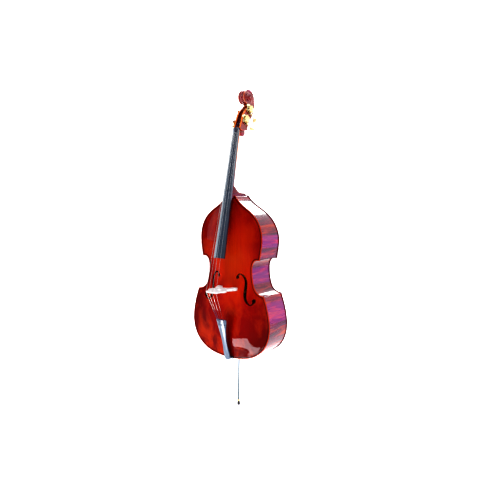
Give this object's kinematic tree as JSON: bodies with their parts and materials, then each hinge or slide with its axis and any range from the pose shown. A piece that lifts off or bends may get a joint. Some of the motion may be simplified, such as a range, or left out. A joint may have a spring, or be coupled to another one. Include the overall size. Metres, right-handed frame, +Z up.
{
  "type": "double bass",
  "caption": "Double bass with an arched hollow body, geared tuning machines, bridge, tailpiece and a sliding steel endpin with a rubber tip.",
  "frame": {"origin": "middle of the rubber tip's foot, where the endpin meets the floor", "axes": "+Z up along the endpin and body, +X to the treble (thinnest string) side, -Y is the front of the instrument, where the bridge and strings are"},
  "size_m": [0.66, 0.4465, 2.1948],
  "materials": {
    "spruce_top": "gloss red-brown varnish over spruce",
    "flamed_maple": "gloss deep red varnish over flamed maple",
    "neck_maple": "satin to gloss red-brown varnish over maple",
    "bare_spruce": "bare planed spruce",
    "bridge_maple": "bare waxed maple",
    "ebony": "polished ebony",
    "purfling_wood": "dark inlaid strip under varnish",
    "plate_brass": "polished pale brass",
    "key_bronze": "worn bronze",
    "machine_steel": "bright steel",
    "string_steel": "flat-wound steel, silk at the ends",
    "pin_steel": "ground steel",
    "tip_rubber": "matt black rubber"
  },
  "bodies": {
    "instrument": {"top_plate": "spruce_top", "back_plate": "flamed_maple", "scroll_head": "flamed_maple", "rib_upper_left": "flamed_maple", "rib_upper_right": "flamed_maple", "rib_waist_left": "flamed_maple", "rib_waist_right": "flamed_maple", "rib_lower_left": "flamed_maple", "rib_lower_right": "flamed_maple", "neck": "neck_maple", "neck_block": "bare_spruce", "tail_block": "bare_spruce", "corner_blocks": "bare_spruce", "front_linings": "bare_spruce", "back_linings": "bare_spruce", "bass_bar": "bare_spruce", "sound_post": "bare_spruce", "top_purfling": "purfling_wood", "back_purfling": "purfling_wood", "fingerboard": "ebony", "nut": "ebony", "saddle": "ebony", "tailpiece": "ebony", "bridge": "bridge_maple", "string_e": "string_steel", "string_a": "string_steel", "string_d": "string_steel", "string_g": "string_steel", "tail_wire": "string_steel", "plate_e": "plate_brass", "plate_a": "plate_brass", "plate_d": "plate_brass", "plate_g": "plate_brass", "plate_screws": "machine_steel", "endpin_socket": "plate_brass"},
    "endpin": {"endpin_rod": "pin_steel", "endpin_tip": "tip_rubber", "endpin_ferrule": "plate_brass"},
    "endpin_screw": {"endpin_screw": "plate_brass"},
    "key_e": {"worm_e": "key_bronze", "key_e": "key_bronze"},
    "roller_e": {"roller_e": "machine_steel", "gear_e": "plate_brass", "string_wrap_e": "string_steel"},
    "key_a": {"worm_a": "key_bronze", "key_a": "key_bronze"},
    "roller_a": {"roller_a": "machine_steel", "gear_a": "plate_brass", "string_wrap_a": "string_steel"},
    "key_d": {"worm_d": "key_bronze", "key_d": "key_bronze"},
    "roller_d": {"roller_d": "machine_steel", "gear_d": "plate_brass", "string_wrap_d": "string_steel"},
    "key_g": {"worm_g": "key_bronze", "key_g": "key_bronze"},
    "roller_g": {"roller_g": "machine_steel", "gear_g": "plate_brass", "string_wrap_g": "string_steel"}
  },
  "joints": [
    {"name": "endpin_slide", "type": "slide", "parent": "instrument", "child": "endpin", "axis": [0, 0, 1], "range_m": [-0.03, 0.285]},
    {"name": "endpin_screw_turn", "type": "hinge", "parent": "instrument", "child": "endpin_screw", "pos_m": [0, 0, 0.342], "axis": [1, 0, 0], "range_deg": [0, 540]},
    {"name": "key_turn_e", "type": "hinge", "parent": "instrument", "child": "key_e", "pos_m": [-0.0395, -0.02169, 1.93678], "axis": [0, 0.9207, -0.3903], "continuous": true},
    {"name": "roller_turn_e", "type": "hinge", "parent": "instrument", "child": "roller_e", "pos_m": [0, -0.011, 1.962], "axis": [1, 0, 0], "continuous": true},
    {"name": "key_turn_a", "type": "hinge", "parent": "instrument", "child": "key_a", "pos_m": [-0.0395, 0.02257, 2.00609], "axis": [0, 0.8, -0.6], "continuous": true},
    {"name": "roller_turn_a", "type": "hinge", "parent": "instrument", "child": "roller_a", "pos_m": [0, 0.039, 2.028], "axis": [1, 0, 0], "continuous": true},
    {"name": "key_turn_d", "type": "hinge", "parent": "instrument", "child": "key_d", "pos_m": [0.0395, 0.04157, 2.04674], "axis": [0, 0.7398, -0.6728], "continuous": true},
    {"name": "roller_turn_d", "type": "hinge", "parent": "instrument", "child": "roller_d", "pos_m": [0, 0.06, 2.067], "axis": [1, 0, 0], "continuous": true},
    {"name": "key_turn_g", "type": "hinge", "parent": "instrument", "child": "key_g", "pos_m": [0.0395, 0.00079, 1.97259], "axis": [0, 0.8548, -0.5189], "continuous": true},
    {"name": "roller_turn_g", "type": "hinge", "parent": "instrument", "child": "roller_g", "pos_m": [0, 0.015, 1.996], "axis": [1, 0, 0], "continuous": true}
  ],
  "couplings": [
    {"joint": "roller_turn_e", "follows": "key_turn_e", "ratio": -0.041667},
    {"joint": "roller_turn_a", "follows": "key_turn_a", "ratio": -0.041667},
    {"joint": "roller_turn_d", "follows": "key_turn_d", "ratio": -0.041667},
    {"joint": "roller_turn_g", "follows": "key_turn_g", "ratio": -0.041667}
  ]
}
